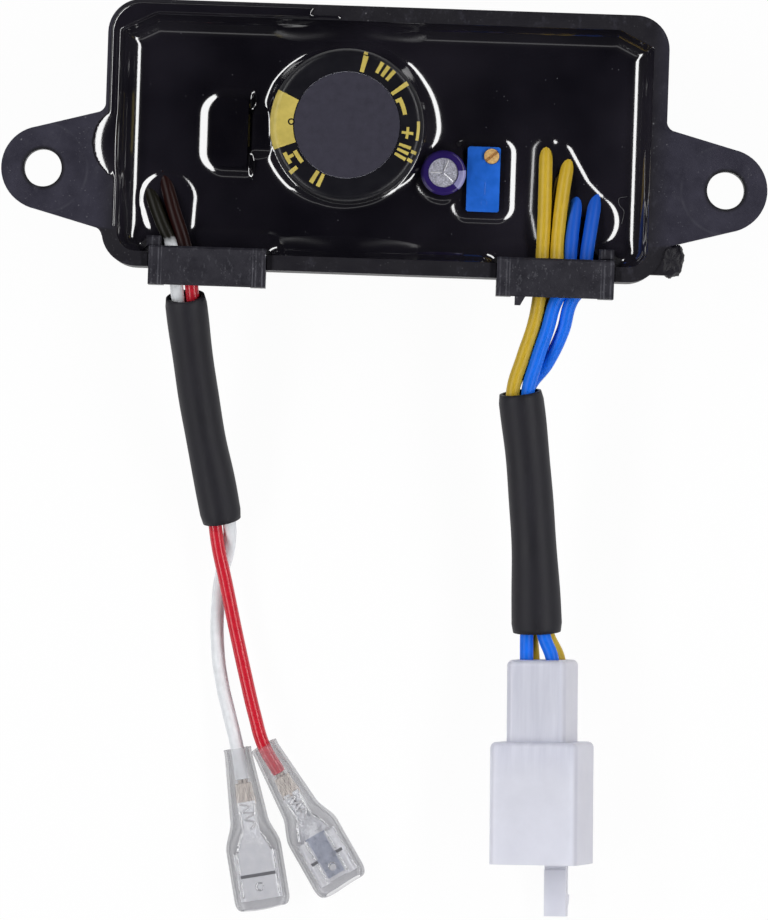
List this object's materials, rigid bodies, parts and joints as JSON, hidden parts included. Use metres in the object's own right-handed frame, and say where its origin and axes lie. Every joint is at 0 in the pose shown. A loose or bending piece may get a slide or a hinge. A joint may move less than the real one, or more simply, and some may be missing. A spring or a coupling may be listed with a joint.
{
  "type": "automatic voltage regulator",
  "caption": "Potted voltage regulator in a plastic tray with two mounting ears, an upright capacitor, a trimmer and two sleeved leads ending in spade receptacles and a plug.",
  "frame": {"origin": "under the middle of the tray with its ears and clamps, on the face of the tray's back", "axes": "+Z out of the potted face, +X along the line of the two mounting holes, +Y away from the leads"},
  "size_m": [0.1122, 0.1339, 0.0267],
  "materials": {
    "case_plastic": "fine-grained dark grey moulded plastic",
    "clamp_plastic": "dark grey moulded plastic with scuffs",
    "potting_resin": "glossy black cast resin",
    "board_laminate": "paper laminate",
    "can_aluminium": "drawn aluminium",
    "main_sleeve_film": "black shrink film",
    "end_disc_film": "grey fibre disc",
    "small_sleeve_film": "dark violet shrink film",
    "lead_metal": "tinned wire",
    "trimmer_blue": "satin moulded plastic",
    "screw_brass": "turned brass",
    "device_black": "moulded epoxy",
    "resistor_body": "lacquer",
    "wire_white_insulation": "soft vinyl",
    "wire_red_insulation": "soft vinyl",
    "wire_yellow_insulation": "soft vinyl",
    "wire_blue_insulation": "soft vinyl",
    "sleeve_vinyl": "satin soft vinyl tube",
    "tinned_metal": "tinned sheet",
    "strand_metal": "tinned copper strands",
    "clear_cover": "clear soft vinyl",
    "plug_nylon": "milky moulded nylon",
    "contact_brass": "stamped brass"
  },
  "bodies": {
    "main": {"case": "case_plastic", "potting": "potting_resin", "circuit_board": "board_laminate", "wire_clamp_left": "clamp_plastic", "wire_clamp_right": "clamp_plastic", "main_capacitor_can": "can_aluminium", "main_capacitor_sleeve": "main_sleeve_film", "main_capacitor_end_disc": "end_disc_film", "main_capacitor_pins": "lead_metal", "small_capacitor_can": "can_aluminium", "small_capacitor_sleeve": "small_sleeve_film", "small_capacitor_leads": "lead_metal", "trimmer_housing": "trimmer_blue", "trimmer_pins": "lead_metal", "film_capacitor": "device_black", "film_capacitor_leads": "lead_metal", "power_transistor_body": "device_black", "power_transistor_tab": "lead_metal", "power_transistor_leads": "lead_metal", "rectifier_diodes": "device_black", "resistors": "resistor_body", "driver_transistor": "device_black", "wire_white": "wire_white_insulation", "wire_red": "wire_red_insulation", "wire_yellow_1": "wire_yellow_insulation", "wire_yellow_2": "wire_yellow_insulation", "wire_blue_1": "wire_blue_insulation", "wire_blue_2": "wire_blue_insulation", "sleeve_left": "sleeve_vinyl", "sleeve_right": "sleeve_vinyl", "spade_white": "tinned_metal", "spade_red": "tinned_metal", "strands_white": "strand_metal", "strands_red": "strand_metal", "spade_cover_white": "clear_cover", "spade_cover_red": "clear_cover", "plug_housing": "plug_nylon", "plug_contacts": "contact_brass"},
    "adjuster": {"trimmer_screw": "screw_brass"}
  },
  "joints": [
    {"name": "trimmer_turn", "type": "hinge", "parent": "main", "child": "adjuster", "pos_m": [0.01562, 0.00021, 0.016], "axis": [0, 0, 1], "continuous": true}
  ]
}
